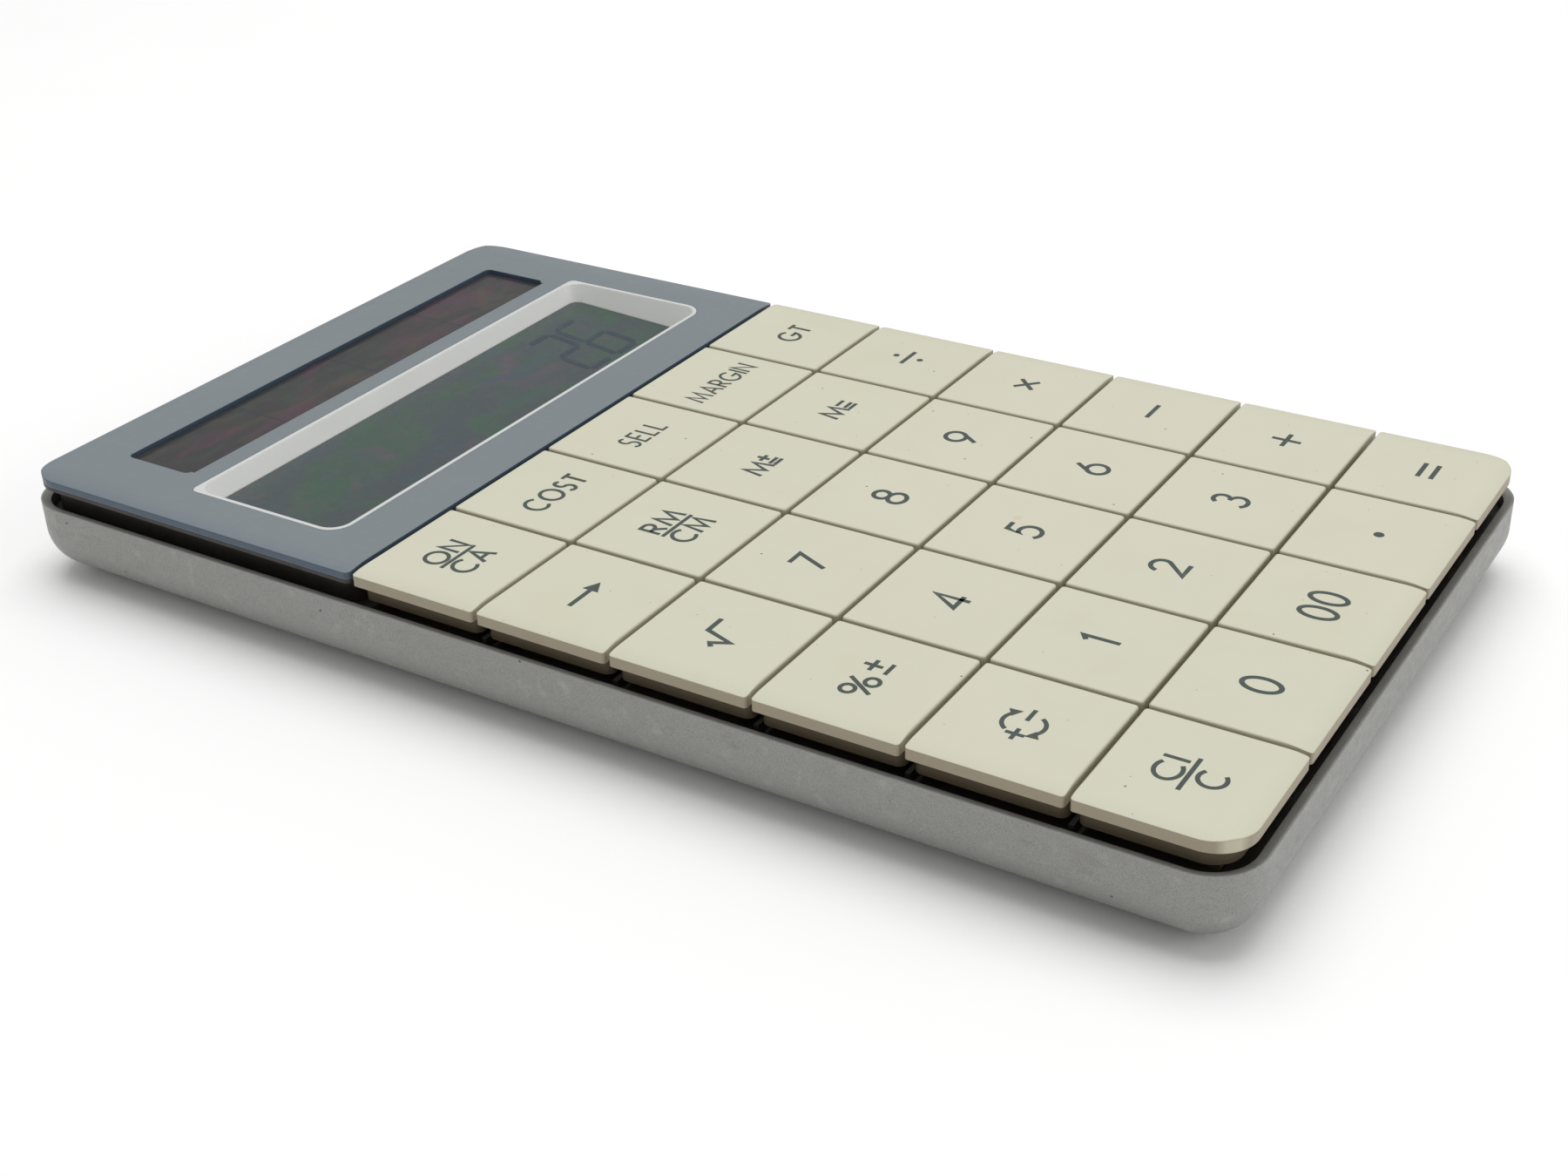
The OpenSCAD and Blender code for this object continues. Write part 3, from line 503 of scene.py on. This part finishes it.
def sign_change():
    """Plus and minus side by side, with an arrow turning over them and one under them."""
    over = arc(0.2, 0.2, 2.35, 2.5, 148, 48, 18)
    under = arc(0.2, -0.2, 2.35, 2.5, -32, -132, 18)
    return cross(2.5, -2.25, 0) + bar(2.6, 2.25, 0) + [over, under]


def dot(radius, x, y):
    """Outline of a round dot."""
    sides = 20
    turns = [k * math.tau / sides for k in range(sides)]
    return [(x + radius * math.cos(a), y + radius * math.sin(a)) for a in turns]


def arrow_head(x, y, heading, length=1.5, width=1.3):
    """Triangle with its tip at x, y, pointing along a heading in degrees."""
    a = math.radians(heading)
    along = Vector((math.cos(a), math.sin(a)))
    side = Vector((-along.y, along.x)) * (width / 2)
    tip = Vector((x, y))
    back = tip - along * length
    return [tuple(tip), tuple(back + side), tuple(back - side)]


# Stroke widths in millimetres
FINE = 0.46
THIN = 0.58
DIGIT_STROKE = 0.69
BOLD = 0.70
# Key name: strokes, stroke width, filled shapes
LEGENDS = {
    "key_on_clear_all": (fraction("ON", 6.6, "CA", 6.5), THIN, []),
    "key_cost": (word("COST", 3.6, 11.8, 0, 0.3), THIN, []),
    "key_sell": (word("SELL", 3.6, 8.2, 0.0, 0.3), FINE, []),
    "key_margin": (word("MARGIN", 3.4, 15.5, -0.3, 0.2), FINE, []),
    "key_grand_total": (word("GT", 3.6, 6.2, 0.3, 0.3), THIN, []),
    "key_backspace": (bar(5.8, -0.6, 0.3), BOLD, [arrow_head(3.6, 0.3, 0, 2.4, 2.5)]),
    "key_memory_recall": (fraction("RM", 6.6, "CM", 7.1), THIN, []),
    "key_memory_plus": (word("M", 3.3, 3.7, -1.35, 0.0) + cross(2.0, 1.95, 1.15)
                        + bar(2.2, 1.95, -0.55) + bar(2.2, 1.95, -1.4), THIN, []),
    "key_memory_minus": (word("M", 3.3, 3.7, -1.35, 0.0) + bar(2.2, 1.95, 0.95)
                         + bar(2.2, 1.95, -0.5) + bar(2.2, 1.95, -1.35), THIN, []),
    "key_divide": (bar(5.0, 0.4, 0.1), BOLD, [dot(0.52, 0.4, 2.25), dot(0.52, 0.4, -2.05)]),
    "key_square_root": ([[(-3.1, -0.3), (-2.3, 0.3), (-1.2, -2.0), (0.2, 2.2), (3.4, 2.2)]], BOLD, []),
    "key_multiply": ([[(-1.5, -1.6), (1.6, 1.5)], [(-1.5, 1.5), (1.6, -1.6)]], BOLD, []),
    "key_percent": (
        [arc(-3.15, 0.95, 0.95, 0.95, 0, 360, 20), arc(-0.55, -1.1, 0.95, 0.95, 0, 360, 20),
         [(-3.2, -2.1), (-0.5, 1.95)]] + cross(2.6, 3.05, 0.75) + bar(2.6, 3.05, -1.5), THIN, []),
    "key_minus": (bar(4.9, 0.2, 0.0), BOLD, []),
    "key_sign_change": (sign_change(), THIN,
                        [arrow_head(2.6, 1.2, -58, 1.6, 1.7), arrow_head(-2.2, -1.2, 122, 1.6, 1.7)]),
    "key_plus": (cross(4.4, 0.2, 0.0), BOLD, []),
    "key_clear": (word("CI", 3.3, 4.6, 0, 2.75) + bar(7.1, 0, 0.3) + word("C", 3.4, 2.9, 0, -2.4), THIN, []),
    "key_00": (word("00", 5.0, 6.9), DIGIT_STROKE, []),
    "key_point": ([], THIN, [dot(0.74, 0.1, 0.0)]),
    "key_equals": (bar(4.7, 0.2, 0.95) + bar(4.7, 0.2, -0.95), BOLD, []),
}
DIGIT_WIDTHS = {"0": 3.1, "1": 0.95, "2": 3.2, "3": 2.9, "4": 3.2, "5": 3.0, "6": 3.1, "7": 2.9,
                "8": 3.1, "9": 3.1}
for digit, digit_width in DIGIT_WIDTHS.items():
    LEGENDS["key_" + digit] = (word(digit, 5.0, digit_width), DIGIT_STROKE, [])


# A stroke's corner is widened to at most this many half widths
MITRE_LIMIT = 2.2


def side_steps(points, closed, half):
    """At each point of a stroke, the step from its middle to its left side."""
    count = len(points)
    steps = []
    for k in range(count):
        before = points[k] - points[k - 1] if k > 0 or closed else points[1] - points[0]
        after = points[(k + 1) % count] - points[k] if k < count - 1 or closed else before
        n1 = Vector((-before.y, before.x)).normalized()
        n2 = Vector((-after.y, after.x)).normalized()
        middle = (n1 + n2).normalized()
        widened = half / max(middle.dot(n1), 0.1)
        steps.append(middle * min(widened, MITRE_LIMIT * half))
    return steps


def add_stroke(mesh, points, width, low, high):
    """Adds one stroke to a mesh as a closed flat ribbon."""
    closed = (Vector(points[0]) - Vector(points[-1])).length < 1e-6
    middle = [Vector(p) for p in (points[:-1] if closed else points)]
    rings = []
    for p, step in zip(middle, side_steps(middle, closed, width / 2)):
        left, right = p + step, p - step
        rings.append([mesh.verts.new((*xy, z)) for xy, z in
                      ((left, low), (right, low), (right, high), (left, high))])
    spans = range(len(rings) if closed else len(rings) - 1)
    for k in spans:
        here, there = rings[k], rings[(k + 1) % len(rings)]
        for a in range(4):
            b = (a + 1) % 4
            mesh.faces.new((here[a], here[b], there[b], there[a]))
    if not closed:
        mesh.faces.new(rings[0][::-1])
        mesh.faces.new(rings[-1])


def add_shape(mesh, outline, low, high):
    """Adds a filled outline to a mesh as a thin closed plate."""
    bottom = [mesh.verts.new((x, y, low)) for x, y in outline]
    top = [mesh.verts.new((x, y, high)) for x, y in outline]
    mesh.faces.new(bottom[::-1])
    mesh.faces.new(top)
    count = len(outline)
    for k in range(count):
        n = (k + 1) % count
        mesh.faces.new((bottom[k], bottom[n], top[n], top[k]))


def finish_piece(name, mesh, place, material, turn=None):
    """Turns a bmesh in millimetres into a placed piece."""
    bmesh.ops.recalc_face_normals(mesh, faces=mesh.faces)
    bmesh.ops.scale(mesh, vec=(MM, MM, MM), verts=mesh.verts)
    if turn:
        bmesh.ops.rotate(mesh, cent=(0, 0, 0), matrix=turn.to_matrix(), verts=mesh.verts)
    bmesh.ops.translate(mesh, vec=place, verts=mesh.verts)
    data = bpy.data.meshes.new(name)
    mesh.to_mesh(data)
    mesh.free()
    data.materials.append(material)
    piece = bpy.data.objects.new(name, data)
    bpy.context.scene.collection.objects.link(piece)
    return piece


# Underside and top of the ink above the tile, and how much higher each further stroke's top lies, so
# that crossing strokes don't share a face
INK_LOW = -0.005
INK_HIGH = 0.025
INK_STEP = 0.0012


def print_legends():
    """One thin printed legend on each key, riding on that key."""
    ink = legend_ink()
    for key, (strokes, width, shapes) in LEGENDS.items():
        low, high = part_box(key)
        centre = Vector(((low.x + high.x) / 2, (low.y + high.y) / 2, high.z))
        mesh = bmesh.new()
        for k, stroke in enumerate(strokes):
            add_stroke(mesh, stroke, width, INK_LOW, INK_HIGH + k * INK_STEP)
        for k, shape in enumerate(shapes):
            add_shape(mesh, shape, INK_LOW, INK_HIGH + (len(strokes) + k) * INK_STEP)
        piece = finish_piece("legend_" + key.removeprefix("key_"), mesh, centre, ink)
        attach(piece, key)


# ---- Display digits -----------------------------------------------------------

SHOWN = "26"
SEGMENTS = {"2": "abged", "6": "afgedc"}
DIGIT_H = 14.2
DIGIT_W = 5.6
DIGIT_PITCH = 7.3
SEGMENT_T = 1.15
SEGMENT_GAP = 0.14
SLANT = math.tan(math.radians(7))
# Distance from the film's right end to the end of the last digit's pitch
DIGITS_IN = 9.0
# Underside and top of a segment above the film
SEGMENT_LOW = -0.01
SEGMENT_HIGH = 0.02


def segment_outline(x0, y0, x1, y1):
    """Six-sided bar with pointed ends between two corners of a digit."""
    a, b = Vector((x0, y0)), Vector((x1, y1))
    along = (b - a).normalized()
    a, b = a + along * SEGMENT_GAP, b - along * SEGMENT_GAP
    side = Vector((-along.y, along.x)) * SEGMENT_T / 2
    inset = along * SEGMENT_T / 2
    points = [a, a + inset + side, b - inset + side, b, b - inset - side, a + inset - side]
    return [(p.x + SLANT * p.y, p.y) for p in points]


def show_digits():
    """Two dim digits at the right end of the display, in the plane of its film."""
    w, h = DIGIT_W, DIGIT_H
    ends = {"a": (0, h, w, h), "b": (w, h, w, h / 2), "c": (w, h / 2, w, 0), "d": (0, 0, w, 0),
            "e": (0, 0, 0, h / 2), "f": (0, h / 2, 0, h), "g": (0, h / 2, w, h / 2)}
    low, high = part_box("lcd_polarizer")
    tilt = math.atan2(high.z - low.z - FILM_T, high.y - low.y)
    mesh = bmesh.new()
    right = (high.x - low.x) / MM / 2 - DIGITS_IN
    for place, digit in enumerate(SHOWN):
        x = right - (len(SHOWN) - place) * DIGIT_PITCH
        for name in SEGMENTS[digit]:
            x0, y0, x1, y1 = ends[name]
            outline = [(px + x, py - h / 2) for px, py in segment_outline(x0, y0, x1, y1)]
            add_shape(mesh, outline, SEGMENT_LOW, SEGMENT_HIGH)
    centre = (low + high) / 2 + Vector((0, 0, FILM_T / 2))
    turn = Quaternion((1, 0, 0), tilt)
    piece = finish_piece("lcd_digits", mesh, centre, display_digits(), turn)
    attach(piece, "case")


# ---- Studio -------------------------------------------------------------------

FLOOR_HALF = 4.0
# The floor lies this far under the feet, so that the two don't share a face
FLOOR_GAP = 0.05 * MM
SURROUND = 0.47


def lay_floor():
    """Plain pale floor under the object."""
    mesh = bmesh.new()
    bmesh.ops.create_grid(mesh, x_segments=1, y_segments=1, size=FLOOR_HALF)
    data = bpy.data.meshes.new("floor")
    mesh.to_mesh(data)
    mesh.free()
    floor = bpy.data.objects.new("floor", data)
    bpy.context.scene.collection.objects.link(floor)
    floor.location.z = -FLOOR_GAP
    s = Shader("floor_paper", (0.97, 0.97, 0.968), 0.75)
    s.patches(s.noise(300, 3), 0.3, 0.7, 0.3, (0.955, 0.955, 0.95))
    s.gloss(s.noise(40, 3), 0.70, 0.80)
    data.materials.append(s.material)


def area_light(name, place, size, power):
    """White rectangular light, aimed at the origin."""
    light = bpy.data.lights.new(name, "AREA")
    light.shape = "RECTANGLE"
    light.size, light.size_y = size
    light.energy = power
    lamp = bpy.data.objects.new(name, light)
    lamp.location = place
    lamp.rotation_euler = (-Vector(place)).to_track_quat("-Z", "Y").to_euler()
    bpy.context.scene.collection.objects.link(lamp)


def light_studio():
    """A broad soft light overhead, a weak one in front, and an even pale surround."""
    area_light("overhead", place=(0.20, 0.10, 1.30), size=(1.2, 1.2), power=12.0)
    area_light("front", place=(0.35, -1.20, 0.60), size=(0.9, 0.6), power=3.0)
    world = bpy.data.worlds.new("surround")
    world.use_nodes = True
    background = world.node_tree.nodes["Background"]
    background.inputs["Color"].default_value = (1.0, 1.0, 1.0, 1.0)
    background.inputs["Strength"].default_value = SURROUND
    bpy.context.scene.world = world
    bpy.context.scene.view_settings.view_transform = "Standard"


# The camera's place in metres, its angles in degrees (heading from +Y towards +X) and its lens in millimetres
CAMERA_PLACE = (-0.2417, -0.1558, 0.1589)
CAMERA_HEADING = 57.7
CAMERA_DOWN = 29.51
CAMERA_ROLL = -1.6
CAMERA_LENS = 50.1


def place_camera():
    """The view from the front left, above the keys."""
    data = bpy.data.cameras.new("camera")
    data.lens = CAMERA_LENS
    data.sensor_width = 36.0
    data.clip_start = 0.01
    camera = bpy.data.objects.new("camera", data)
    heading, down = math.radians(CAMERA_HEADING), math.radians(CAMERA_DOWN)
    forward = Vector((math.sin(heading) * math.cos(down), math.cos(heading) * math.cos(down),
                      -math.sin(down)))
    level = forward.to_track_quat("-Z", "Y")
    camera.rotation_euler = (level @ Quaternion((0, 0, 1), math.radians(CAMERA_ROLL))).to_euler()
    camera.location = CAMERA_PLACE
    bpy.context.scene.collection.objects.link(camera)
    bpy.context.scene.camera = camera


place_camera()
lay_floor()
light_studio()
paint_nodes()
print_legends()
show_digits()
